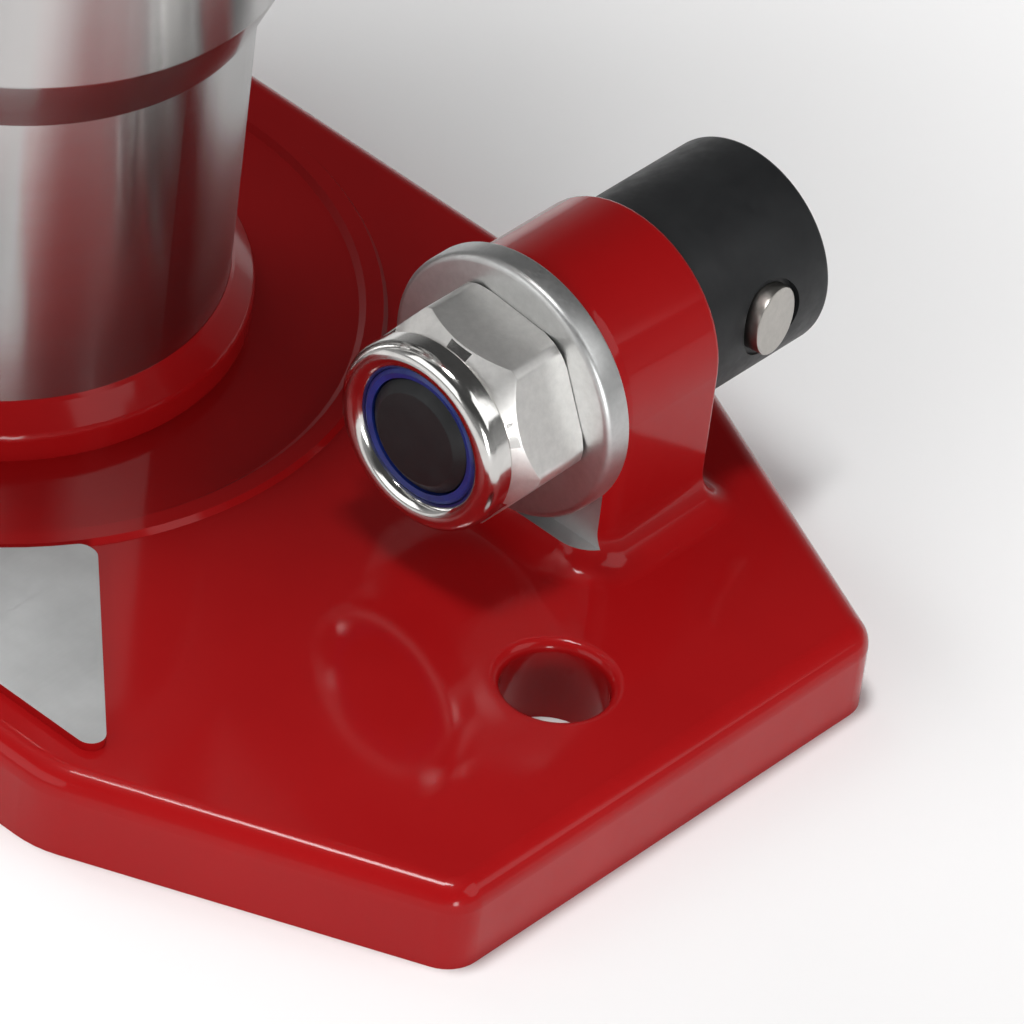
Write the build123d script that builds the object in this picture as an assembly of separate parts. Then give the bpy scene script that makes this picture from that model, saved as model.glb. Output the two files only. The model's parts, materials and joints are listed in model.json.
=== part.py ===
"""Telescopic hydraulic cylinder with a cast foot, inverted so that the smallest stage stands fixed.

Frame: origin on the cylinder axis at the underside of the foot, +Z up along the cylinder,
+X along the foot towards the lug, +Y along the pivot stub. Millimetres.
"""
import os
from math import cos, radians

from build123d import *

# ---- driving dimensions -------------------------------------------------------------------
PLUNGER_R = 31.5          # fixed chromed plunger, the smallest stage
SLEEVE_R = 43.0           # moving middle sleeve, outside
CASING_R = 55.0           # outer casing, outside
STROKE = 150.0            # travel of each moving stage

# foot casting
PLATE_T = 11.8
PLATE_HALF_W = 58.4
PLATE_TAPER_X = 69.8
NOSE_X = 117.6
NOSE_HALF_W = 36.6
NOSE_CORNER_R = 5.0
SIDE_CORNER_R = 14.0
PLATE_EDGE_R = 3.2
HOLE_X = 98.25
HOLE_R = 6.75            # clearance for M12
HOLE_RIM_R = 1.5
HUB_TOP = 18.6
HUB_R = 34.75
HUB_LIP_Z = 15.35         # where the 45 degree top meets the hub's wall
SCREW_R = 2.5             # lock screw on the joint of plunger and hub
SCREW_TOP = 12.0
RING_IN_R = 47.9
RING_OUT_R = 51.5
RING_RISE = 0.7
PAD_TOP = 13.0
PAD_CORNER_R = 1.9

# lug, stub and nut, all on one axis parallel to Y
LUG_X = 72.0
LUG_Z = 32.0
LUG_R = 15.5
LUG_RAW_Y = 17.5          # cast front face
LUG_FRONT = 19.3          # milled front face
LUG_BACK = 37.9
MILL_FLOOR = 14.3         # floor of the milled step
BUSH_R = 11.0
STUB_R = 13.75
STUB_END = 59.9
SHANK_R = 8.0
THREAD_R = 7.7
WASHER_R = 17.5
WASHER_FRONT = 15.5
NUT_AF = 25.1
HEX_FRONT = 4.7           # face of the hexagon, under the nut's rolled crown
NUT_END = 0.1
CROWN_R = 12.5
NYLON_R = 8.9
BUTTON_Y = 49.1
BUTTON_TILT = 6.0         # degrees up from +X
BUTTON_R = 4.4
BUTTON_BORE_R = 5.1
BUTTON_FACE = 14.5        # middle of the face, from the stub's axis
BUTTON_SLANT = 10.0       # degrees the face leans towards the stub's free end

# running clearances
RUN = 0.05
LOOSE = 0.3

# heights along the cylinder, stages closed
FOOT_SEAT = 10.0
NOSE_TIP = 61.3
NOSE_CONE_TOP = 69.6
NOSE_R = 35.65
NOSE_SHOULDER = 93.0
SLEEVE_FLANGE = 97.0
SLEEVE_BOTTOM = 106.0
SLEEVE_SHANK_TOP = 148.0
SLEEVE_BORE_R = 36.5
SLEEVE_MOUTH_R = 40.0
CASING_TIP = 108.0
CASING_FLANGE = 118.0
CASING_BOTTOM = 128.0
CASING_SHANK_TOP = 160.0
CASING_BORE_R = 48.0
CASING_MOUTH_R = 51.5
HEAD_STOP_H = 8.0
HEAD_GUIDE_H = 16.0
HEAD_NUT_H = 5.0
HEAD_SPIGOT = 1.5         # radial step that carries the rings at a stage's head
LIP_GAP = 0.5

# oil port block on the far end of the foot
PORT_X = -64.0
PORT_TOP = 30.0
PORT_BLOCK_R = 15.0
PORT_R = 8.3
PASSAGE_R = 2.5

# casing head
CAP_T = 14.0
SADDLE_R = 36.0
STEM_R = 15.0
BLEED_R_POS = 46.0

os.makedirs("parts", exist_ok=True)


# ---- helpers ------------------------------------------------------------------------------
def save(shape, node):
    """Write one sub-part as parts/NODE.step."""
    shape.label = node
    export_step(shape, f"parts/{node}.step")


def turned(*profile):
    """Solid of revolution about Z from (radius, height) points."""
    outline = Polyline(*[(r, 0, z) for r, z in profile], close=True)
    return revolve(make_face(outline), Axis.Z, 360)


def ring(r_in, r_out, z_low, z_high):
    return turned((r_in, z_low), (r_out, z_low), (r_out, z_high), (r_in, z_high))


def rod(r, z_low, z_high):
    return Pos(0, 0, z_low) * Cylinder(r, z_high - z_low, align=(Align.CENTER, Align.CENTER, Align.MIN))


def o_ring(r_mid, section_r, z):
    return Pos(0, 0, z) * Torus(r_mid, section_r)


def edges_at_height(shape, z):
    return shape.edges().filter_by_position(Axis.Z, z - 0.01, z + 0.01)


def along_y(shape):
    """Move a part turned about Z onto the lug's axis: its Z becomes +Y."""
    return Location((LUG_X, 0, LUG_Z), (-90, 0, 0)) * shape


def lip_seal(rod_r, groove_r, z_low, height):
    """U-section rod seal: solid heel and two lips round a shallow V."""
    gap_r = (rod_r + groove_r) / 2
    top = z_low + height
    return turned(
        (rod_r + LOOSE, z_low),
        (groove_r, z_low),
        (groove_r, top),
        (groove_r - 1.0, top),
        (gap_r, top - height * 0.5),
        (rod_r + LOOSE + 0.9, top),
        (rod_r + LOOSE, top),
    )


def wiper_ring(rod_r, groove_r, z_low, height):
    """Scraper with an inner lip that leans down towards the outside."""
    return turned(
        (rod_r + LOOSE, z_low),
        (groove_r, z_low + 1.0),
        (groove_r, z_low + height),
        (rod_r + LOOSE + 0.7, z_low + height),
        (rod_r + LOOSE + 0.7, z_low + height * 0.5),
    )


# ---- foot casting -------------------------------------------------------------------------
def plate():
    half = [
        (-NOSE_X, -NOSE_HALF_W),
        (-PLATE_TAPER_X, -PLATE_HALF_W),
        (PLATE_TAPER_X, -PLATE_HALF_W),
        (NOSE_X, -NOSE_HALF_W),
    ]
    outline = half + [(-x, -y) for x, y in half]
    body = extrude(make_face(Polyline(*outline, close=True)), PLATE_T)
    nose_corners = [e for e in body.edges().filter_by(Axis.Z) if abs(e.center().X) > NOSE_X - 1]
    body = fillet(nose_corners, NOSE_CORNER_R)
    side_corners = [e for e in body.edges().filter_by(Axis.Z) if abs(e.center().X) < PLATE_TAPER_X + 1]
    body = fillet(side_corners, SIDE_CORNER_R)
    return fillet(edges_at_height(body, PLATE_T), PLATE_EDGE_R)


def hub():
    """Collar that grips the plunger's foot: upright wall, rounded lip and 45 degree top."""
    rim_r = PLUNGER_R + 0.45
    body = turned(
        (0, 6),
        (HUB_R, 6),
        (HUB_R, HUB_LIP_Z),
        (rim_r, HUB_LIP_Z + HUB_R - rim_r),
        (rim_r - 0.4, HUB_TOP),
        (0, HUB_TOP),
    )
    return fillet(edges_at_height(body, HUB_LIP_Z), 1.2)


def raised_ring():
    top = PLATE_T + RING_RISE
    return turned(
        (RING_IN_R, PLATE_T - 1),
        (RING_IN_R, PLATE_T),
        (RING_IN_R + 0.8, top),
        (RING_OUT_R - 0.6, top),
        (RING_OUT_R, PLATE_T),
        (RING_OUT_R, PLATE_T - 1),
    )


def milled_pad(side):
    """Pad between the raised ring, the near side and a diagonal; side is +1 or -1."""
    near_y = -51.9
    far_y = -26.1
    inner_x = 10.0
    outline = Polyline(
        (inner_x * side, near_y),
        (74.3 * side, near_y),
        (47.3 * side, far_y),
        (inner_x * side, far_y),
        close=True,
    )
    blank = Pos(0, 0, PLATE_T - 1) * extrude(make_face(outline), PAD_TOP - PLATE_T + 1)
    blank -= rod(RING_OUT_R + 0.6, 0, 40)
    upright = [e for e in blank.edges().filter_by(Axis.Z) if abs(e.center().X) > 40]
    return fillet(upright, PAD_CORNER_R)


def lug():
    """Arch-topped ear with rounded front uprights."""
    side = LUG_BACK - LUG_RAW_Y
    arch = Pos(0, 0, LUG_RAW_Y) * Cylinder(LUG_R, side, align=(Align.CENTER, Align.CENTER, Align.MIN))
    leg_h = LUG_Z - 6
    leg = Pos(0, leg_h / 2, LUG_RAW_Y + side / 2) * Box(2 * LUG_R, leg_h, side)
    ear = arch + leg
    front = ear.edges().filter_by_position(Axis.Z, LUG_RAW_Y - 0.01, LUG_RAW_Y + 0.01)
    front = [e for e in front if e.center().Y < leg_h - 0.5]
    ear = fillet(front, 4.5)
    back = ear.edges().filter_by_position(Axis.Z, LUG_BACK - 0.01, LUG_BACK + 0.01)
    back = [e for e in back if e.center().Y < leg_h - 0.5]
    ear = fillet(back, 0.8)
    return along_y(ear)


def port_block():
    """Raised block at the far end that carries the oil port."""
    width = 2 * PORT_BLOCK_R
    block = Pos(PORT_X, 0, PLATE_T - 1) * Cylinder(
        PORT_BLOCK_R, PORT_TOP - PLATE_T + 1, align=(Align.CENTER, Align.CENTER, Align.MIN)
    )
    length = -PORT_X - PLUNGER_R + 10
    bridge = Pos(PORT_X, 0, PLATE_T - 1) * Box(
        length, width, PORT_TOP - PLATE_T + 1, align=(Align.MIN, Align.CENTER, Align.MIN)
    )
    whole = block + bridge
    rim = [e for e in edges_at_height(whole, PORT_TOP) if e.center().X < -PLUNGER_R - 4]
    return fillet(rim, 2.0)


def toe_edges(body, x_mid, x_reach, y_low, y_high):
    """Edges where a raised feature meets the plate's top face."""
    found = []
    for edge in edges_at_height(body, PLATE_T):
        mid = edge.center()
        if abs(mid.X - x_mid) < x_reach and y_low < mid.Y < y_high:
            found.append(edge)
    return found


def cast_base():
    body = plate() + port_block()
    reach = PORT_BLOCK_R + 1
    body = fillet(toe_edges(body, PORT_X, 30, -reach, reach), 3.0)
    body += lug()
    body = fillet(toe_edges(body, LUG_X, LUG_R + 1, LUG_RAW_Y - 1, LUG_BACK + 1), 5.0)
    body += raised_ring()
    body += hub()
    for side in (1, -1):
        body += milled_pad(side)
    body -= rod(PLUNGER_R, FOOT_SEAT, PORT_TOP + 1)
    body -= rod(PLUNGER_R + 1.5, HUB_TOP, PORT_TOP + 1)
    body -= rod(26.0, 3.5, FOOT_SEAT)
    cutter = Box(60, 12, 40, align=(Align.CENTER, Align.MAX, Align.MIN))
    body -= Pos(LUG_X, LUG_FRONT, MILL_FLOOR) * cutter
    body -= along_y(rod(BUSH_R, 0, 50))
    for x in (HOLE_X, -HOLE_X):
        body -= Pos(x, 0, 0) * rod(HOLE_R, -1, PLATE_T + 1)
    circles = edges_at_height(body, PLATE_T).filter_by(GeomType.CIRCLE)
    body = fillet([e for e in circles if abs(e.radius - HOLE_R) < 0.01], HOLE_RIM_R)
    body -= Pos(PORT_X, 0, 0) * rod(PORT_R, 16, PORT_TOP + 1)
    body -= Pos(PORT_X, 0, 0) * rod(PASSAGE_R, 9.5, 17)
    run = Line((PORT_X - 1, 0, 12), (-24, 0, 6))
    passage = sweep(Plane(origin=run @ 0, z_dir=run % 0) * Circle(PASSAGE_R), path=run)
    body -= passage
    body -= lock_screw_hole()
    return body


def lock_screw_hole():
    """Blind hole on the joint between plunger and hub, drilled from below."""
    return Pos(0, PLUNGER_R, 0) * rod(SCREW_R, -1, SCREW_TOP + 0.2)


# ---- fixed plunger ------------------------------------------------------------------------
GLAND_STOP = SLEEVE_SHANK_TOP + STROKE
PLUNGER_TOP = GLAND_STOP + HEAD_STOP_H + HEAD_GUIDE_H + HEAD_NUT_H


def stage_head(radius, bore_out, z_stop, node_prefix):
    """Stop ring, guide ring and head nut on the reduced top of a stage."""
    seat = radius - HEAD_SPIGOT
    z_guide = z_stop + HEAD_STOP_H
    z_nut = z_guide + HEAD_GUIDE_H
    save(ring(seat, bore_out - 0.5, z_stop, z_guide), f"{node_prefix}_stop_ring")
    guide = ring(seat, bore_out - RUN, z_guide, z_nut)
    relief = ring(bore_out - 0.8, bore_out + 1, z_guide + 7, z_guide + 9)
    save(guide - relief, f"{node_prefix}_guide_ring")
    nut = ring(seat, bore_out - 2.0, z_nut, z_nut + HEAD_NUT_H)
    for turn in range(4):
        slot = Rot(0, 0, 90 * turn + 45) * Pos(bore_out - 2.0, 0, z_nut + HEAD_NUT_H) * Box(3, 4, 4)
        nut -= slot
    save(nut, f"{node_prefix}_head_nut")


def build_plunger():
    seat = PLUNGER_R - HEAD_SPIGOT
    bore = 24.5
    tube = turned(
        (bore, FOOT_SEAT),
        (PLUNGER_R, FOOT_SEAT),
        (PLUNGER_R, GLAND_STOP),
        (seat, GLAND_STOP),
        (seat, PLUNGER_TOP),
        (bore, PLUNGER_TOP),
    )
    tube -= ring(PLUNGER_R - 2.2, PLUNGER_R + 1, 12.6, 15.6)
    tube -= lock_screw_hole()
    save(tube, "plunger_tube")
    save(o_ring(PLUNGER_R - 1.1, 1.1, 14.1), "plunger_foot_o_ring")
    screw = Pos(0, PLUNGER_R, 0) * rod(SCREW_R, 4.0, SCREW_TOP)
    socket = Pos(0, PLUNGER_R, 4.0) * extrude(RegularPolygon(1.44, 6), 3.0)
    save(screw - socket, "foot_lock_screw")
    stage_head(PLUNGER_R, SLEEVE_BORE_R, GLAND_STOP, "plunger")


# ---- middle stage -------------------------------------------------------------------------
SLEEVE_STOP = CASING_SHANK_TOP + STROKE
SLEEVE_TOP = SLEEVE_STOP + HEAD_STOP_H + HEAD_GUIDE_H + HEAD_NUT_H


def spanner_holes(r_out, z, count):
    """Blind radial holes for a pin spanner."""
    drill = Pos(r_out, 0, z) * Rot(0, 90, 0) * Cylinder(2.5, 6)
    return [Rot(0, 0, 360 / count * turn) * drill for turn in range(count)]


def gland(inner_r, outer, shank_r, z_top):
    """Screwed gland: outer lists its nose and flange from the tip up, and the shank fits in the tube."""
    z_tip = outer[0][1]
    flange_r, z_flange = outer[-2]
    z_shank = outer[-1][1]
    body = turned(
        (inner_r + LOOSE, z_tip),
        *outer,
        (shank_r, z_shank),
        (shank_r, z_top),
        (inner_r + LOOSE, z_top),
    )
    for hole in spanner_holes(flange_r, (z_flange + z_shank) / 2, 4):
        body -= hole
    return body


def build_middle():
    body = gland(
        PLUNGER_R,
        outer=[
            (PLUNGER_R + 0.75, NOSE_TIP),
            (NOSE_R, NOSE_CONE_TOP),
            (NOSE_R, NOSE_SHOULDER),
            (SLEEVE_R, SLEEVE_FLANGE),
            (SLEEVE_R, SLEEVE_BOTTOM),
        ],
        shank_r=SLEEVE_MOUTH_R,
        z_top=SLEEVE_SHANK_TOP,
    )
    wiper_groove = PLUNGER_R + 2.5
    seal_groove = PLUNGER_R + 5.0
    wear_groove = PLUNGER_R + 2.5
    body -= ring(PLUNGER_R, wiper_groove, 76, 82)
    body -= ring(PLUNGER_R, seal_groove, 110, 119)
    body -= ring(PLUNGER_R, wear_groove, 126, 140)
    body -= ring(SLEEVE_MOUTH_R - 2.0, SLEEVE_MOUTH_R + 1, 142.5, 145.5)
    save(body, "middle_gland")
    save(wiper_ring(PLUNGER_R, wiper_groove, 76, 6), "middle_wiper")
    save(lip_seal(PLUNGER_R, seal_groove, 110, 9), "middle_rod_seal")
    save(ring(PLUNGER_R + RUN, wear_groove, 126, 140), "middle_wear_ring")
    save(o_ring(SLEEVE_MOUTH_R - 1.0, 1.0, 144), "middle_gland_o_ring")
    seat = SLEEVE_R - HEAD_SPIGOT
    lip_z = PLUNGER_TOP + LIP_GAP
    sleeve = turned(
        (SLEEVE_MOUTH_R, SLEEVE_BOTTOM),
        (SLEEVE_R - 0.6, SLEEVE_BOTTOM),
        (SLEEVE_R, SLEEVE_BOTTOM + 0.6),
        (SLEEVE_R, SLEEVE_STOP),
        (seat, SLEEVE_STOP),
        (seat, SLEEVE_TOP),
        (28.0, SLEEVE_TOP),
        (28.0, lip_z),
        (SLEEVE_BORE_R, lip_z),
        (SLEEVE_BORE_R, SLEEVE_SHANK_TOP),
        (SLEEVE_MOUTH_R, SLEEVE_SHANK_TOP),
    )
    save(sleeve, "middle_sleeve")
    stage_head(SLEEVE_R, CASING_BORE_R, SLEEVE_STOP, "middle")


# ---- outer casing -------------------------------------------------------------------------
CAP_SEAT = SLEEVE_TOP + 16.0
CAP_TOP = CAP_SEAT + CAP_T


def build_casing():
    body = gland(
        SLEEVE_R,
        outer=[
            (SLEEVE_R + 0.9, CASING_TIP),
            (48.5, 114.0),
            (48.5, 116.0),
            (CASING_R, CASING_FLANGE),
            (CASING_R, CASING_BOTTOM),
        ],
        shank_r=CASING_MOUTH_R,
        z_top=CASING_SHANK_TOP,
    )
    wiper_groove = SLEEVE_R + 3.0
    seal_groove = SLEEVE_R + 5.0
    wear_groove = SLEEVE_R + 2.5
    body -= ring(SLEEVE_R, wiper_groove, 112, 118)
    body -= ring(SLEEVE_R, seal_groove, 129, 138)
    body -= ring(SLEEVE_R, wear_groove, 142, 154)
    body -= ring(CASING_MOUTH_R - 2.0, CASING_MOUTH_R + 1, 154.5, 157.5)
    save(body, "casing_gland")
    save(wiper_ring(SLEEVE_R, wiper_groove, 112, 6), "casing_wiper")
    save(lip_seal(SLEEVE_R, seal_groove, 129, 9), "casing_rod_seal")
    save(ring(SLEEVE_R + RUN, wear_groove, 142, 154), "casing_wear_ring")
    save(o_ring(CASING_MOUTH_R - 1.0, 1.0, 156), "casing_gland_o_ring")
    casing = turned(
        (CASING_MOUTH_R, CASING_BOTTOM),
        (CASING_R - 0.8, CASING_BOTTOM),
        (CASING_R, CASING_BOTTOM + 0.8),
        (CASING_R, CAP_SEAT),
        (CASING_BORE_R, CAP_SEAT),
        (CASING_BORE_R, CASING_SHANK_TOP),
        (CASING_MOUTH_R, CASING_SHANK_TOP),
    )
    save(casing, "outer_casing")
    build_cap()


def build_cap():
    spigot_low = CAP_SEAT - 15.0
    bleed_at = Pos(0, -BLEED_R_POS, 0)
    cap = turned(
        (0, spigot_low),
        (CASING_BORE_R, spigot_low),
        (CASING_BORE_R, CAP_SEAT),
        (CASING_R, CAP_SEAT),
        (CASING_R, CAP_TOP - 3),
        (CASING_R - 3, CAP_TOP),
        (0, CAP_TOP),
    )
    cap -= ring(CASING_BORE_R - 2.0, CASING_BORE_R + 1, CAP_SEAT - 9.5, CAP_SEAT - 6.5)
    cap -= rod(STEM_R + RUN, CAP_TOP - 16, CAP_TOP + 1)
    cap -= ring(STEM_R, STEM_R + 1.5, CAP_TOP - 10.5, CAP_TOP - 8.5)
    cap -= Pos(0, -BLEED_R_POS + 4.0, 0) * rod(1.5, spigot_low - 1, CAP_TOP - 8)
    cap -= bleed_at * rod(4.0, CAP_TOP - 9, CAP_TOP + 1)
    for turn in range(2):
        cap -= Rot(0, 0, 180 * turn) * Pos(CASING_R, 0, CAP_TOP - 4) * Box(6, 30, 12)
    save(cap, "casing_cap")
    save(o_ring(CASING_BORE_R - 1.0, 1.0, CAP_SEAT - 8), "cap_o_ring")
    save(bleed_at * ring(4.0, 7.0, CAP_TOP, CAP_TOP + 1.2), "bleed_seal_washer")
    head_low = CAP_TOP + 1.2
    head_top = head_low + 5.5
    head_r = 6.35
    head = Pos(0, 0, head_low) * extrude(RegularPolygon(head_r, 6), head_top - head_low)
    head &= turned(
        (0, head_low),
        (head_r, head_low),
        (head_r, head_top - 0.5),
        (head_r - 1.1, head_top),
        (0, head_top),
    )
    shank = rod(4.0, CAP_TOP - 7, head_low)
    save(bleed_at * (head + shank), "bleed_screw")
    save(ring(STEM_R + 1.0, SADDLE_R - 4, CAP_TOP, CAP_TOP + 2.0), "saddle_thrust_washer")


def build_saddle():
    low = CAP_TOP + 2.0 + 0.05
    top = low + 16.0
    body = turned(
        (0, CAP_TOP - 15),
        (STEM_R - 1, CAP_TOP - 15),
        (STEM_R, CAP_TOP - 14),
        (STEM_R, low),
        (SADDLE_R - 2, low),
        (SADDLE_R, low + 2),
        (SADDLE_R, top - 1),
        (SADDLE_R - 1, top),
        (24.0, top),
        (20.0, top - 3.5),
        (0, top - 3.5),
    )
    for turn in range(2):
        body -= Rot(0, 0, 90 * turn) * Pos(0, 0, top) * Box(2 * SADDLE_R + 2, 9, 7)
    body -= ring(STEM_R - 1.4, STEM_R + 1, CAP_TOP - 10.5, CAP_TOP - 8.5)
    save(body, "load_saddle")
    clip = ring(STEM_R - 1.4, STEM_R + 0.9, CAP_TOP - 10.2, CAP_TOP - 8.8)
    clip -= Pos(STEM_R, 0, CAP_TOP - 9.5) * Box(8, 4, 4)
    save(clip, "saddle_retaining_ring")


# ---- lug fittings -------------------------------------------------------------------------
def build_stub():
    """Pivot stub; its local Z runs along the lug's axis, from the nut end to the free end."""
    tip = NUT_END + 0.35
    shoulder = LUG_BACK + RUN
    edge = 0.6
    body = turned(
        (0, tip),
        (THREAD_R - 1.1, tip),
        (THREAD_R, tip + 1.1),
        (THREAD_R, WASHER_FRONT),
        (SHANK_R, WASHER_FRONT),
        (SHANK_R, shoulder),
        (STUB_R - 0.5, shoulder),
        (STUB_R, shoulder + 0.5),
        (STUB_R, STUB_END - edge),
        (STUB_R - edge, STUB_END),
        (0, STUB_END),
    )
    body = along_y(body)
    body -= at_button(rod(BUTTON_BORE_R, 3.0, STUB_R + 2))
    save(body, "pivot_stub")
    save(along_y(ring(SHANK_R + RUN, BUSH_R, LUG_FRONT, LUG_BACK)), "lug_bush")
    washer = turned(
        (SHANK_R, WASHER_FRONT),
        (WASHER_R - 0.8, WASHER_FRONT),
        (WASHER_R, WASHER_FRONT + 0.8),
        (WASHER_R, LUG_FRONT - RUN - 0.4),
        (WASHER_R - 0.4, LUG_FRONT - RUN),
        (SHANK_R, LUG_FRONT - RUN),
    )
    save(along_y(washer), "stub_washer")
    build_nut()
    build_button()


def build_nut():
    corner_r = NUT_AF / 2 / cos(radians(30))
    crown = (CROWN_R - NYLON_R) / 2
    crest = NUT_END + crown
    face_r = 12.2
    neck_r = 12.1
    turn = -54.5
    blank = extrude(RegularPolygon(corner_r, 6, rotation=turn), WASHER_FRONT - HEX_FRONT)
    chamfered = turned(
        (0, HEX_FRONT),
        (face_r - 0.5, HEX_FRONT),
        (corner_r + 0.2, HEX_FRONT + 2.0),
        (corner_r + 0.2, WASHER_FRONT - 0.8),
        (face_r + 0.8, WASHER_FRONT),
        (0, WASHER_FRONT),
    )
    collar = turned(
        (THREAD_R, crest),
        (CROWN_R, crest),
        (CROWN_R, HEX_FRONT - 0.8),
        (neck_r, HEX_FRONT - 0.4),
        (neck_r, HEX_FRONT + 1),
        (THREAD_R, HEX_FRONT + 1),
    )
    nut = Pos(0, 0, HEX_FRONT) * blank & chamfered
    nut += collar + Pos(0, 0, crest) * Torus(NYLON_R + crown, crown)
    nut -= rod(THREAD_R, -1, WASHER_FRONT + 1)
    nut -= rod(NYLON_R, NUT_END - 1, HEX_FRONT + 0.3)
    save(along_y(nut), "stub_lock_nut")
    insert = turned(
        (THREAD_R, NUT_END + 1.1),
        (NYLON_R - 0.5, NUT_END + 0.9),
        (NYLON_R, NUT_END + 1.3),
        (NYLON_R, HEX_FRONT + 0.3),
        (THREAD_R, HEX_FRONT + 0.3),
    )
    save(along_y(insert), "nylon_insert")


def at_button(shape):
    """Place a part turned about Z on the button's axis, its Z pointing out of the stub."""
    return Location((LUG_X, BUTTON_Y, LUG_Z), (0, 90 - BUTTON_TILT, 0)) * shape


def build_button():
    """Spring button with a slanted face, the collar that keeps it in and its spring."""
    collar_low = 10.6
    flange_low = 8.0
    flange_r = BUTTON_BORE_R - RUN
    save(at_button(ring(BUTTON_R + RUN, BUTTON_BORE_R, collar_low, 12.6)), "button_collar")
    blank = turned(
        (0, flange_low),
        (flange_r, flange_low),
        (flange_r, collar_low - 0.2),
        (BUTTON_R, collar_low - 0.2),
        (BUTTON_R, BUTTON_FACE + 2),
        (0, BUTTON_FACE + 2),
    )
    above = Box(12, 12, 6, align=(Align.CENTER, Align.CENTER, Align.MIN))
    button = blank - Pos(0, 0, BUTTON_FACE) * Rot(-BUTTON_SLANT, 0, 0) * above
    save(at_button(button), "retaining_button")
    wire_r = 0.4
    low = 3.1
    high = flange_low - 0.1
    coil = Helix(pitch=1.2, height=high - low - 2 * wire_r, radius=3.4, center=(0, 0, low + wire_r))
    wire = sweep(Plane(origin=coil @ 0, z_dir=coil % 0) * Circle(wire_r), path=coil, is_frenet=True)
    save(at_button(wire), "button_spring")


# ---- oil port -----------------------------------------------------------------------------
def build_port():
    """Hose fitting with a 24 degree cone seat, screwed down on a soft washer."""
    at_port = Pos(PORT_X, 0, 0)
    low = 17.5
    seal_top = PORT_TOP + 1.5
    hex_top = seal_top + 8.0
    thread_top = hex_top + 13.0
    hex_r = 13.0
    thread_r = 9.0
    neck_r = 8.2
    bore_r = 4.0
    body = rod(PORT_R, low, seal_top)
    body += Pos(0, 0, seal_top) * extrude(RegularPolygon(hex_r, 6), hex_top - seal_top)
    body &= turned(
        (0, low),
        (PORT_R, low),
        (PORT_R, seal_top),
        (hex_r + 0.1, seal_top),
        (hex_r + 0.1, hex_top - 0.9),
        (hex_r - 1.4, hex_top),
        (0, hex_top),
    )
    body += turned(
        (0, hex_top - 1),
        (neck_r, hex_top - 1),
        (neck_r, hex_top + 1.5),
        (thread_r, hex_top + 2.3),
        (thread_r, thread_top - 1),
        (thread_r - 1, thread_top),
        (0, thread_top),
    )
    body -= rod(bore_r, low - 1, thread_top + 1)
    mouth = thread_top + 0.1
    body -= turned((0, thread_top - 5), (bore_r, thread_top - 5), (bore_r + 2.9, mouth), (0, mouth))
    save(at_port * body, "port_fitting")
    save(at_port * ring(PORT_R, 12.6, PORT_TOP, seal_top), "port_seal_washer")


save(cast_base(), "cast_base")
build_plunger()
build_middle()
build_casing()
build_saddle()
build_stub()
build_port()
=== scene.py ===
"""Looks for the telescopic hydraulic cylinder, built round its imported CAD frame. Metres, +Z up."""

import json
import math

import bmesh
import bpy
from mathutils import Matrix, Vector


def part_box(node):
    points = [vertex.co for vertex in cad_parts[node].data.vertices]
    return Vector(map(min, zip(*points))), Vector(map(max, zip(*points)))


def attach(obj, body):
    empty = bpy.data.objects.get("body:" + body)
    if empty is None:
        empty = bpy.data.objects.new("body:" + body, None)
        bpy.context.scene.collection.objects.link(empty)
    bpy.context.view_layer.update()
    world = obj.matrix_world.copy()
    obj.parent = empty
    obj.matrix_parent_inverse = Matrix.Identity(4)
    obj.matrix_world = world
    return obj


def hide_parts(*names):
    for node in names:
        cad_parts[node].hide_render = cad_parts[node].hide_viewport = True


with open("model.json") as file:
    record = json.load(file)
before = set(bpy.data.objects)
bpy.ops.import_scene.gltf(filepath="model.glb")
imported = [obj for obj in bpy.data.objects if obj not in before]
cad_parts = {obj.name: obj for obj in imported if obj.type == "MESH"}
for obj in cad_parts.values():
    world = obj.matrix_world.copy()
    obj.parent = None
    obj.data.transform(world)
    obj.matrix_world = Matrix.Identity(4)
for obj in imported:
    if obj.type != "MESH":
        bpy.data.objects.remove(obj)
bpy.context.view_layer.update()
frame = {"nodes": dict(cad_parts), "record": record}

MM = 0.001
NODES = frame["nodes"]
BODIES = frame["record"]["behaviour"]["bodies"]
BODY_OF_NODE = {node: body for body, group in BODIES.items() for node in group}
SLOT_OF_NODE = {row["node"]: row["material_slot"] for row in frame["record"]["subparts"]}


# ---- measures read from the frame -----------------------------------------------------------
def low(node):
    """Lowest corner of a CAD node, in millimetres."""
    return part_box(node)[0] / MM


def high(node):
    """Highest corner of a CAD node, in millimetres."""
    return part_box(node)[1] / MM


def middle(node):
    return (low(node) + high(node)) / 2


LUG_X = middle("stub_washer").x
LUG_Z = middle("stub_washer").z
PLUNGER_R = high("plunger_tube").x
WASHER_CLEARANCE = 0.2
MILL_FLOOR = low("stub_washer").z - WASHER_CLEARANCE
PAD_TOP = 13.0
RUN = 0.05                # running clearance between moving pieces
LOOSE = 0.3               # gap between a gland and the stage that slides in it
THREAD_R = 7.7
SHANK_R = 8.0
STUB_BODY_R = (high("pivot_stub").z - low("pivot_stub").z) / 2
BUTTON_TILT = math.radians(6)


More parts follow.
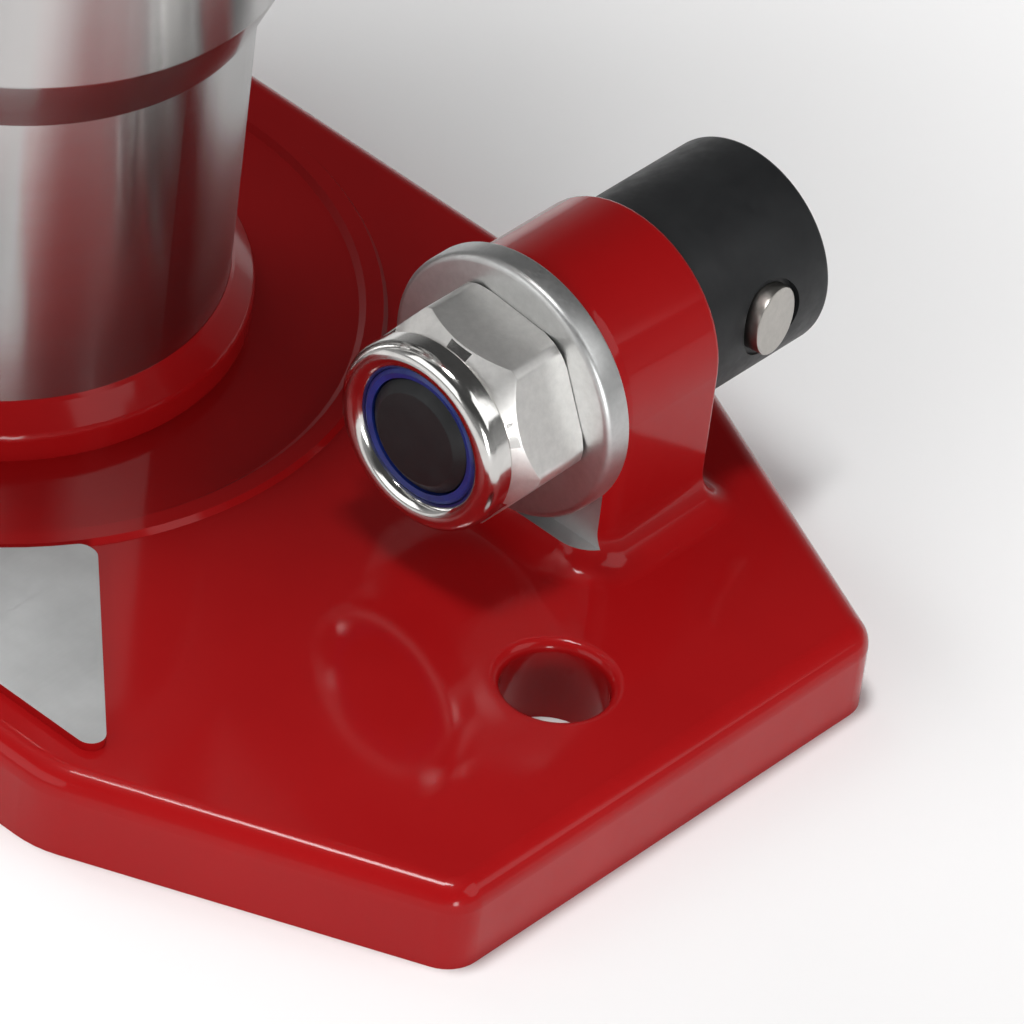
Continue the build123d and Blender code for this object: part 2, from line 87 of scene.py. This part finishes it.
# ---- mesh helpers ---------------------------------------------------------------------------
def rounded(points, steps=5):
    """Closed outline from (r, z) or (r, z, fillet radius) points, round corners worked out."""
    outline = []
    count = len(points)
    for i, point in enumerate(points):
        here = Vector(point[:2])
        radius = point[2] if len(point) > 2 else 0
        if radius == 0:
            outline.append(here)
            continue
        back = (Vector(points[i - 1][:2]) - here).normalized()
        onward = (Vector(points[(i + 1) % count][:2]) - here).normalized()
        half = math.acos(max(-1, min(1, back.dot(onward)))) / 2
        reach = radius / math.tan(half)
        centre = here + (back + onward).normalized() * radius / math.sin(half)
        start = here + back * reach - centre
        end = here + onward * reach - centre
        turn = start.angle_signed(end)
        for k in range(steps + 1):
            arm = start.copy()
            arm.rotate(Matrix.Rotation(-turn * k / steps, 2))
            outline.append(centre + arm)
    return outline


def new_piece(name, mesh, body, material):
    piece = bpy.data.objects.new(name, mesh)
    bpy.context.scene.collection.objects.link(piece)
    mesh.materials.append(material)
    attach(piece, body)
    return piece


def smooth(mesh, angle=32):
    """Smooth shading with edges sharper than the angle kept."""
    for face in mesh.polygons:
        face.use_smooth = True
    mesh.set_sharp_from_angle(angle=math.radians(angle))


def rings_to_mesh(name, rows, closed=True):
    """Skin rows of points; each row is a full turn, or a single point on the axis."""
    bm = bmesh.new()
    made = [[bm.verts.new(Vector(p) * MM) for p in row] for row in rows]
    pairs = list(zip(made, made[1:]))
    if closed:
        pairs.append((made[-1], made[0]))
    for a, b in pairs:
        if len(a) == 1 and len(b) == 1:
            continue
        n = max(len(a), len(b))
        for i in range(n):
            j = (i + 1) % n
            corners = [a[i % len(a)], a[j % len(a)], b[j % len(b)], b[i % len(b)]]
            unique = []
            for c in corners:
                if c not in unique:
                    unique.append(c)
            if len(unique) > 2:
                bm.faces.new(unique)
    bmesh.ops.recalc_face_normals(bm, faces=bm.faces)
    mesh = bpy.data.meshes.new(name)
    bm.to_mesh(mesh)
    bm.free()
    return mesh


def turn_row(r, z, segments):
    if r < 1e-6:
        return [(0, 0, z)]
    step = 2 * math.pi / segments
    return [(r * math.cos(step * i), r * math.sin(step * i), z) for i in range(segments)]


def lathe(name, outline, segments=192):
    """Solid of revolution about Z of a closed outline, in millimetres."""
    points = rounded(outline)
    rows = [turn_row(p.x, p.y, segments) for p in points]
    closed = not (points[0].x < 1e-6 and points[-1].x < 1e-6)
    return rings_to_mesh(name, rows, closed)


def place_along_y(mesh):
    """A part made about Z goes to the lug's axis, its Z along +Y."""
    shift = Matrix.Translation(Vector((LUG_X, 0, LUG_Z)) * MM)
    mesh.transform(shift @ Matrix.Rotation(math.radians(-90), 4, "X"))


def cut(piece, cutters):
    """Take cutter meshes out of a piece, and remove the cutters."""
    for cutter in cutters:
        mod = piece.modifiers.new("cut", "BOOLEAN")
        mod.operation = "DIFFERENCE"
        mod.solver = "EXACT"
        mod.object = cutter
        chosen = {"object": piece, "active_object": piece, "selected_objects": [piece]}
        with bpy.context.temp_override(**chosen):
            bpy.ops.object.modifier_apply(modifier=mod.name)
        bpy.data.objects.remove(cutter)


# ---- materials ------------------------------------------------------------------------------
class Look:
    """A node material with a Principled shader and short calls for its procedural inputs."""

    def __init__(self, name):
        self.mat = bpy.data.materials.new(name)
        self.mat.use_nodes = True
        self.nodes = self.mat.node_tree.nodes
        self.links = self.mat.node_tree.links
        self.shader = self.nodes["Principled BSDF"]
        self.coord = self.nodes.new("ShaderNodeTexCoord")
        self.bumps = None

    def set(self, **values):
        for key, value in values.items():
            socket = self.shader.inputs[key.replace("_", " ")]
            socket.default_value = value
        return self

    def scaled(self, scale):
        node = self.nodes.new("ShaderNodeMapping")
        node.inputs["Scale"].default_value = scale
        self.links.new(self.coord.outputs["Object"], node.inputs["Vector"])
        return node.outputs["Vector"]

    def noise(self, scale, detail=3.0, rough=0.55, stretch=(1, 1, 1), vector=None):
        node = self.nodes.new("ShaderNodeTexNoise")
        node.inputs["Scale"].default_value = scale
        node.inputs["Detail"].default_value = detail
        node.inputs["Roughness"].default_value = rough
        self.links.new(vector or self.scaled(stretch), node.inputs["Vector"])
        return node.outputs["Fac"]

    def spread(self, value, low_in, high_in, low_out, high_out):
        node = self.nodes.new("ShaderNodeMapRange")
        node.inputs["From Min"].default_value = low_in
        node.inputs["From Max"].default_value = high_in
        node.inputs["To Min"].default_value = low_out
        node.inputs["To Max"].default_value = high_out
        self.links.new(value, node.inputs["Value"])
        return node.outputs["Result"]

    def mix(self, value, colour_a, colour_b):
        node = self.nodes.new("ShaderNodeMix")
        node.data_type = "RGBA"
        self.links.new(value, node.inputs["Factor"])
        for socket, colour in ((node.inputs["A"], colour_a), (node.inputs["B"], colour_b)):
            if isinstance(colour, tuple):
                socket.default_value = (*colour, 1)
            else:
                self.links.new(colour, socket)
        return node.outputs["Result"]

    def colour(self, output):
        self.links.new(output, self.shader.inputs["Base Color"])
        return self

    def tones(self, value, colour_a, colour_b, low=0.3, high=0.7):
        """Base colour that drifts between two tones with a noise value."""
        return self.colour(self.mix(self.spread(value, low, high, 0, 1), colour_a, colour_b))

    def gloss(self, value, smoothest, roughest):
        """Roughness that drifts between two levels with a noise value."""
        level = self.spread(value, 0.3, 0.7, smoothest, roughest)
        self.links.new(level, self.shader.inputs["Roughness"])
        return self

    def bump(self, output, height_mm, strength=1.0):
        node = self.nodes.new("ShaderNodeBump")
        node.inputs["Distance"].default_value = height_mm * MM
        node.inputs["Strength"].default_value = strength
        self.links.new(output, node.inputs["Height"])
        if self.bumps is not None:
            self.links.new(self.bumps, node.inputs["Normal"])
        self.bumps = node.outputs["Normal"]
        self.links.new(self.bumps, self.shader.inputs["Normal"])
        return self

    def arithmetic(self, operation, first, second=None):
        """A math node; second is an output to link, a plain number or nothing."""
        node = self.nodes.new("ShaderNodeMath")
        node.operation = operation
        self.links.new(first, node.inputs[0])
        if isinstance(second, (int, float)):
            node.inputs[1].default_value = second
        elif second is not None:
            self.links.new(second, node.inputs[1])
        return node.outputs[0]

    def round_coords(self, around, along):
        """Coordinates of a part turned about Z: its angle, height and radius, for lay lines."""
        parts = self.nodes.new("ShaderNodeSeparateXYZ")
        self.links.new(self.coord.outputs["Object"], parts.inputs["Vector"])
        x, y, z = (parts.outputs[name] for name in "XYZ")
        x_square = self.arithmetic("POWER", x, 2)
        y_square = self.arithmetic("POWER", y, 2)
        radius = self.arithmetic("SQRT", self.arithmetic("ADD", x_square, y_square))
        angle = self.arithmetic("ARCTAN2", y, x)
        joined = self.nodes.new("ShaderNodeCombineXYZ")
        for value, gain, socket in ((angle, around, "X"), (z, along, "Y"), (radius, along, "Z")):
            self.links.new(self.arithmetic("MULTIPLY", value, gain), joined.inputs[socket])
        return joined.outputs["Vector"]


def darker(tint, share):
    return tuple(channel * share for channel in tint)


def red_paint(name):
    """Thick glossy red paint over a casting: slow waves and orange peel under a clear coat."""
    look = Look(name)
    look.set(Coat_Weight=1.0, Coat_Roughness=0.1, Coat_IOR=1.25, Specular_IOR_Level=0.05)
    look.tones(look.noise(28, detail=4), (0.30, 0.003, 0.004), (0.34, 0.005, 0.006))
    look.gloss(look.noise(160, detail=4), 0.4, 0.5)
    look.bump(look.noise(45, detail=2), 0.2, 0.2)
    look.bump(look.noise(700, detail=2, rough=0.4), 0.01, 0.4)
    return look.mat


def chrome(name):
    """Ground hard chrome: lay lines round the axis blur what it mirrors up and down."""
    tint = (0.53, 0.525, 0.52)
    look = Look(name).set(Metallic=1.0, Anisotropic=0.87, Anisotropic_Rotation=0.25)
    tangent = look.nodes.new("ShaderNodeTangent")
    tangent.direction_type = "RADIAL"
    tangent.axis = "Z"
    look.links.new(tangent.outputs["Tangent"], look.shader.inputs["Tangent"])
    lay = look.noise(1.0, detail=3, rough=0.6, vector=look.round_coords(3, 2500))
    streak = look.noise(1.0, detail=3, vector=look.round_coords(30, 18))
    look.tones(streak, tint, darker(tint, 0.96), low=0.35)
    look.gloss(lay, 0.21, 0.23)
    return look.mat


def plated(name, tint, rough, dent, grain):
    """Bright or satin plating over machined steel."""
    look = Look(name).set(Metallic=1.0)
    look.tones(look.noise(grain, detail=5, rough=0.6), tint, darker(tint, 0.86), high=0.75)
    look.gloss(look.noise(grain * 3, detail=4), *rough)
    look.bump(look.noise(120, detail=2), dent, 0.5)
    look.bump(look.noise(2400, detail=2), 0.004, 0.5)
    return look.mat


def milled(name):
    """Bare face-milled iron: fine parallel cutter lines with soft cloudy patches."""
    look = Look(name).set(Metallic=1.0)
    lines = look.noise(1.0, detail=4, rough=0.7, stretch=(2600, 90, 90))
    look.tones(look.noise(90, detail=4), (0.55, 0.56, 0.56), (0.68, 0.69, 0.69))
    look.gloss(lines, 0.44, 0.54)
    look.bump(lines, 0.01, 0.5)
    return look.mat


def black_oxide(name):
    look = Look(name).set(Specular_IOR_Level=0.3)
    look.tones(look.noise(140, detail=5), (0.009, 0.0095, 0.0105), (0.015, 0.016, 0.017))
    look.gloss(look.noise(600, detail=3), 0.42, 0.55)
    look.bump(look.noise(3000, detail=2), 0.006, 0.5)
    return look.mat


def turned_metal(name, tint, rough):
    """Turned metal with fine lathe lines round its axis."""
    look = Look(name).set(Metallic=1.0)
    lay = look.noise(1.0, detail=4, rough=0.65, vector=look.round_coords(3, 5200))
    look.tones(look.noise(120, detail=4), tint, darker(tint, 0.82))
    look.gloss(lay, *rough)
    look.bump(lay, 0.012, 0.6)
    return look.mat


def rubber(name):
    look = Look(name).set(Specular_IOR_Level=0.3)
    cloud = look.noise(400, detail=4)
    look.tones(cloud, (0.014, 0.014, 0.014), (0.028, 0.027, 0.026))
    look.gloss(cloud, 0.55, 0.7)
    look.bump(look.noise(2200, detail=2), 0.01, 0.5)
    return look.mat


def nylon(name):
    look = Look(name).set(Specular_IOR_Level=0.5, Subsurface_Weight=0.05)
    cloud = look.noise(500, detail=3)
    look.tones(cloud, (0.008, 0.018, 0.13), (0.011, 0.028, 0.2))
    look.gloss(cloud, 0.3, 0.42)
    look.bump(look.noise(1500, detail=2), 0.01, 0.4)
    return look.mat


LOOKS = {
    "red_casting": red_paint("red_cast_paint"),
    "red_paint": red_paint("red_tube_paint"),
    "chrome_stage": chrome("hard_chrome"),
    "zinc_steel": plated("zinc_plate", (0.55, 0.555, 0.55), (0.36, 0.46), 0.02, 900),
    "bright_nut": plated("bright_plate", (0.66, 0.65, 0.63), (0.1, 0.16), 0.05, 600),
    "plain_steel": turned_metal("turned_steel", (0.42, 0.42, 0.43), (0.25, 0.38)),
    "black_steel": black_oxide("black_oxide"),
    "button_steel": plated("brushed_button", (0.46, 0.44, 0.41), (0.28, 0.36), 0.02, 900),
    "bronze": turned_metal("bronze", (0.55, 0.34, 0.14), (0.25, 0.38)),
    "copper_seal": turned_metal("soft_copper", (0.62, 0.28, 0.16), (0.28, 0.4)),
    "blue_nylon": nylon("blue_nylon"),
    "seal_rubber": rubber("nitrile_rubber"),
}
MILLED = milled("milled_iron")
NUT_FLAT = plated("nut_flats", (0.74, 0.73, 0.71), (0.4, 0.48), 0.02, 900)


def finish_cad_nodes():
    """Every CAD node that still shows gets its slot's material and smooth shading."""
    for node, obj in NODES.items():
        obj.data.materials.clear()
        obj.data.materials.append(LOOKS[SLOT_OF_NODE[node]])
        smooth(obj.data)
        mod = obj.modifiers.new("weighted", "WEIGHTED_NORMAL")
        mod.keep_sharp = True
        mod.weight = 100


# ---- casting --------------------------------------------------------------------------------
def bare_casting_faces():
    """The casting's machined faces show bare iron: pads, lug front, step and underside."""
    mesh = NODES["cast_base"].data
    mesh.materials.append(MILLED)
    pad_top = PAD_TOP * MM
    mill_floor = MILL_FLOOR * MM
    lug_front = low("lug_bush").y * MM
    pad_far_y = -25 * MM
    step_reach = 20 * MM
    near = 0.03 * MM
    flat = 0.99
    for face in mesh.polygons:
        c, n = face.center, face.normal
        on_pad = n.z > flat and abs(c.z - pad_top) < near and c.y < pad_far_y
        on_front = n.y < -flat and abs(c.y - lug_front) < near and c.z > mill_floor
        by_lug = abs(c.x - LUG_X * MM) < step_reach
        on_step = n.z > flat and abs(c.z - mill_floor) < near and by_lug
        on_foot = n.z < -flat and c.z < near
        if on_pad or on_front or on_step or on_foot:
            face.material_index = 1


# ---- chromed stages -------------------------------------------------------------------------
def spanner_cutters(outer_r, z):
    """Four drills for the pin spanner's holes, pointing at the axis."""
    cutters = []
    for k in range(4):
        bpy.ops.mesh.primitive_cylinder_add(vertices=40, radius=2.5 * MM, depth=6 * MM)
        drill = bpy.context.active_object
        outward = Matrix.Translation((outer_r * MM, 0, z * MM))
        outward = outward @ Matrix.Rotation(math.radians(90), 4, "Y")
        drill.matrix_world = Matrix.Rotation(math.radians(90 * k), 4, "Z") @ outward
        bpy.context.view_layer.update()
        cutters.append(drill)
    return cutters


def gland(node, bore_r, tip_r, cone_r, z_cone, z_shoulder, z_flange, z_shank, shank_r):
    """Tapered gland with softly broken edges and spanner holes."""
    z_tip, z_top, flange_r = low(node).z, high(node).z, high(node).y
    mesh = lathe(node + "_finish", [
        (bore_r, z_tip, 0.15),
        (tip_r, z_tip, 0.3),
        (cone_r, z_cone, 1.0),
        (cone_r, z_shoulder, 1.5),
        (flange_r, z_flange, 0.8),
        (flange_r, z_shank, 0.4),
        (shank_r, z_shank),
        (shank_r, z_top),
        (bore_r, z_top),
    ], 256)
    slot = SLOT_OF_NODE[node]
    piece = new_piece(node + "_finish", mesh, BODY_OF_NODE[node], LOOKS[slot])
    cut(piece, spanner_cutters(flange_r, (z_flange + z_shank) / 2))
    smooth(piece.data)
    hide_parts(node)


def build_stages():
    gland(
        "middle_gland", bore_r=PLUNGER_R + LOOSE, tip_r=PLUNGER_R + 0.75, cone_r=35.65,
        z_cone=69.6, z_shoulder=93.0, z_flange=97.0, z_shank=low("middle_sleeve").z, shank_r=40.0,
    )
    sleeve_r = high("middle_sleeve").x
    gland(
        "casing_gland", bore_r=sleeve_r + LOOSE, tip_r=sleeve_r + 0.9, cone_r=48.5,
        z_cone=114.0, z_shoulder=116.0, z_flange=118.0, z_shank=low("outer_casing").z, shank_r=51.5,
    )


# ---- lug fittings ----------------------------------------------------------------------------
def hex_nut_mesh(name):
    """Nylon-insert lock nut: bore, rolled crown, neck and a hexagon with chamfered faces."""
    nut_low = low("stub_lock_nut").y
    nut_high = high("stub_lock_nut").y
    across = 25.1
    corner_r = across / 2 / math.cos(math.radians(30))
    corner_at = -54.5
    nylon_r = 8.9
    insert_end = 5.0
    crown_r = 12.5
    neck_r = 12.1
    hex_front = 4.7
    front_r, front_slope = 11.6, 0.95
    back_r, back_slope = 13.3, 0.5
    per_side = 32

    turns = []
    for side in range(6):
        for k in range(per_side):
            share = k / per_side
            eased = share - 0.2 * math.sin(2 * math.pi * share) / math.pi
            turns.append(math.radians(corner_at + 60 * (side + eased)))

    def hex_r(turn, softness):
        """Distance to the hexagon's edge, with its corners rounded."""
        local = (math.degrees(turn) - corner_at) % 60 - 30
        sharp = across / 2 / math.cos(math.radians(local))
        limit = corner_r - softness
        return min(sharp, limit + 0.06 * (sharp - limit))

    def circle(r, y):
        return [(r * math.cos(t), r * math.sin(t), y) for t in turns]

    def chamfer(y_flat, start_r, slope, softness, shrink=0.0, shift=0.0):
        """Row where a conical chamfer cuts the hexagon; shrink and shift break the edge."""
        row = []
        for t in turns:
            r = hex_r(t, softness)
            drop = max(0.0, r - start_r) * slope + shift
            row.append(((r - shrink) * math.cos(t), (r - shrink) * math.sin(t), y_flat + drop))
        return row

    crown = (crown_r - nylon_r) / 2
    crest_mid = nylon_r + crown
    rows = [
        circle(THREAD_R, nut_high - 0.4),
        circle(THREAD_R, insert_end),
        circle(nylon_r, insert_end),
        circle(nylon_r, nut_low + crown),
    ]
    for k in range(1, 20):
        a = math.pi - math.pi * k / 20
        rows.append(circle(crest_mid + crown * math.cos(a), nut_low + crown - crown * math.sin(a)))
    rows += [
        circle(crown_r, nut_low + crown),
        circle(crown_r, hex_front - 0.9),
        circle(crown_r - 0.1, hex_front - 0.65),
        circle(neck_r, hex_front - 0.4),
        circle(front_r, hex_front),
        chamfer(hex_front, front_r, front_slope, 0.3, shrink=0.16, shift=-0.05),
        chamfer(hex_front, front_r, front_slope, 0.3, shrink=0.0, shift=0.14),
        chamfer(nut_high, back_r, -back_slope, 0.5, shift=-0.1),
        chamfer(nut_high, back_r, -back_slope, 0.5, shrink=0.12),
        circle(neck_r, nut_high),
        circle(THREAD_R + 0.4, nut_high),
    ]
    return rings_to_mesh(name, rows)


def build_nut():
    mesh = hex_nut_mesh("lock_nut_finish")
    place_along_y(mesh)
    nut = new_piece("lock_nut_finish", mesh, "stub", LOOKS["bright_nut"])
    smooth(mesh, 17)
    mesh.materials.append(NUT_FLAT)
    flats_from_y = 5.2
    flats_from_r = 12.0
    for face in mesh.polygons:
        out = face.center / MM - Vector((LUG_X, 0, LUG_Z))
        if out.y > flats_from_y and Vector((out.x, 0, out.z)).length > flats_from_r:
            face.material_index = 1
    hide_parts("stub_lock_nut")


def build_washer():
    radius = (high("stub_washer").x - low("stub_washer").x) / 2
    front, back = low("stub_washer").y, high("stub_washer").y
    mesh = lathe("washer_finish", [
        (SHANK_R, front, 0.3), (radius, front, 1.0), (radius, back, 0.3), (SHANK_R, back),
    ])
    place_along_y(mesh)
    smooth(mesh)
    washer = new_piece("washer_finish", mesh, "stub", LOOKS["zinc_steel"])
    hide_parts("stub_washer")


def build_stub():
    """Stub with broken edges and a rolled thread where it shows in the nut."""
    tip, end = low("pivot_stub").y, high("pivot_stub").y
    pitch, depth = 2.0, 0.35
    outline = [(0, tip), (THREAD_R - 1.6, tip, 0.4), (THREAD_R - 0.1, tip + 1.1, 0.3)]
    y = tip + 1.6
    while y < low("stub_washer").y - pitch:
        outline += [
            (THREAD_R - depth, y), (THREAD_R, y + 0.45 * pitch), (THREAD_R, y + 0.55 * pitch),
        ]
        y += pitch
    shoulder = high("lug_bush").y + RUN
    outline += [
        (SHANK_R, low("stub_washer").y, 0.1),
        (SHANK_R, shoulder),
        (STUB_BODY_R, shoulder, 0.5),
        (STUB_BODY_R, end, 0.7),
        (0, end),
    ]
    mesh = lathe("stub_finish", outline, 160)
    place_along_y(mesh)
    piece = new_piece("stub_finish", mesh, "stub", LOOKS["black_steel"])
    bore_r = (high("button_collar").y - low("button_collar").y) / 2
    bottom, top = 3.0, 16.0
    bore = lathe("button_bore", [(0, bottom), (bore_r, bottom), (bore_r, top), (0, top)], 96)
    at_button(bore)
    cutter = bpy.data.objects.new("button_bore", bore)
    bpy.context.scene.collection.objects.link(cutter)
    cut(piece, [cutter])
    smooth(piece.data)
    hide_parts("pivot_stub")


def at_button(mesh):
    """A part made about Z goes to the button's axis, its Z pointing out of the stub."""
    where = Vector((LUG_X, middle("button_collar").y, LUG_Z)) * MM
    turn = Matrix.Rotation(math.radians(90) - BUTTON_TILT, 4, "Y")
    mesh.transform(Matrix.Translation(where) @ turn)


def build_button():
    """Spring button: slanted brushed face with a fine broken edge, and its hidden flange."""
    collar_wall = 0.65
    flange_r = (high("button_collar").y - low("button_collar").y) / 2 - RUN
    radius = flange_r - collar_wall
    flange_low, flange_high, side_top, face = 8.0, 10.4, 13.2, 14.5
    slant = math.tan(math.radians(10))
    segments = 96

    def tilted(r, drop):
        row = []
        for x, y, _ in turn_row(r, 0, segments):
            row.append((x, y, face - y * slant - drop))
        return row

    rows = [
        [(0, 0, flange_low)],
        turn_row(flange_r, flange_low, segments),
        turn_row(flange_r, flange_high, segments),
        turn_row(radius, flange_high, segments),
        turn_row(radius, side_top, segments),
        tilted(radius, 0.3),
        tilted(radius - 0.09, 0.1),
        tilted(radius - 0.3, 0.02),
        tilted(radius - 0.45, 0.01),
        [(0, 0, face)],
    ]
    mesh = rings_to_mesh("button_finish", rows, closed=False)
    at_button(mesh)
    smooth(mesh)
    piece = new_piece("button_finish", mesh, "button", LOOKS["button_steel"])
    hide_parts("retaining_button")


# ---- stage set ------------------------------------------------------------------------------
def camera():
    """Long-lens view down on the lug end, from the front right."""
    azimuth, elevation, roll = (math.radians(a) for a in (-52.19, 39.79, 7.66))
    distance = 1.24735
    aim = Vector((0.0592, 0.0375, -0.0080))
    back = Vector((
        math.cos(elevation) * math.cos(azimuth),
        math.cos(elevation) * math.sin(azimuth),
        math.sin(elevation),
    ))
    right = Vector((0, 0, 1)).cross(back).normalized()
    up = back.cross(right)
    tilted_right = math.cos(roll) * right + math.sin(roll) * up
    tilted_up = -math.sin(roll) * right + math.cos(roll) * up
    data = bpy.data.cameras.new("photo_camera")
    data.sensor_width = 36
    data.lens = 353.35
    data.clip_start = 0.05
    data.clip_end = 50
    cam = bpy.data.objects.new("photo_camera", data)
    turn = Matrix((tilted_right, tilted_up, back)).transposed().to_4x4()
    cam.matrix_world = Matrix.Translation(aim + back * distance) @ turn
    bpy.context.scene.collection.objects.link(cam)
    bpy.context.scene.camera = cam


def area_light(name, place, aim, size, power):
    """Rectangular softbox at a place in metres, facing its aim, in watts."""
    data = bpy.data.lights.new(name, "AREA")
    data.shape = "RECTANGLE"
    data.size, data.size_y = size
    data.energy = power
    light = bpy.data.objects.new(name, data)
    light.location = place
    light.rotation_euler = (Vector(aim) - Vector(place)).to_track_quat("-Z", "Y").to_euler()
    bpy.context.scene.collection.objects.link(light)


def dim_room():
    """World light: grey near the horizon and darker overhead."""
    world = bpy.data.worlds.new("room")
    world.use_nodes = True
    nodes, links = world.node_tree.nodes, world.node_tree.links
    coord = nodes.new("ShaderNodeTexCoord")
    parts = nodes.new("ShaderNodeSeparateXYZ")
    links.new(coord.outputs["Generated"], parts.inputs["Vector"])
    fade = nodes.new("ShaderNodeMapRange")
    fade.inputs["From Max"].default_value = 0.5
    fade.inputs["To Min"].default_value = 0.45
    fade.inputs["To Max"].default_value = 0.07
    links.new(parts.outputs["Z"], fade.inputs["Value"])
    links.new(fade.outputs["Result"], nodes["Background"].inputs["Strength"])
    nodes["Background"].inputs["Color"].default_value = (1, 1, 1, 1)
    bpy.context.scene.world = world


def studio():
    """Dim room with overhead, front, side and two back softboxes, on a pale floor."""
    bpy.context.scene.view_settings.view_transform = "Standard"
    dim_room()
    for name, place, aim, size, power in (
        ("overhead", (-0.02, -0.12, 1.3), (0.03, 0.0, 0), (0.3, 0.3), 11),
        ("front", (-0.5, -1.6, 0.8), (0.05, 0, 0.05), (1.6, 1.0), 9),
        ("side_strip", (1.4, -0.85, 0.25), (0.05, 0, 0.05), (0.35, 0.5), 10),
        ("back_right", (1.1, 0.5, 1.0), (0.05, 0.03, 0.0), (0.9, 0.9), 5),
        ("back_left", (-1.0, 0.1, 1.0), (0.0, 0.03, 0.0), (0.7, 0.7), 5),
    ):
        area_light(name, place, aim, size, power)

    mesh = bpy.data.meshes.new("floor")
    half = 6.0
    corners = [(-half, -half, 0), (half, -half, 0), (half, half, 0), (-half, half, 0)]
    mesh.from_pydata(corners, [], [(0, 1, 2, 3)])
    floor = bpy.data.objects.new("floor", mesh)
    bpy.context.scene.collection.objects.link(floor)
    look = Look("pale_floor").set(Specular_IOR_Level=0.1, Roughness=0.9)
    look.shader.inputs["Base Color"].default_value = (0.91, 0.91, 0.91, 1)
    mesh.materials.append(look.mat)


camera()
studio()
finish_cad_nodes()
bare_casting_faces()
build_stages()
build_nut()
build_washer()
build_stub()
build_button()
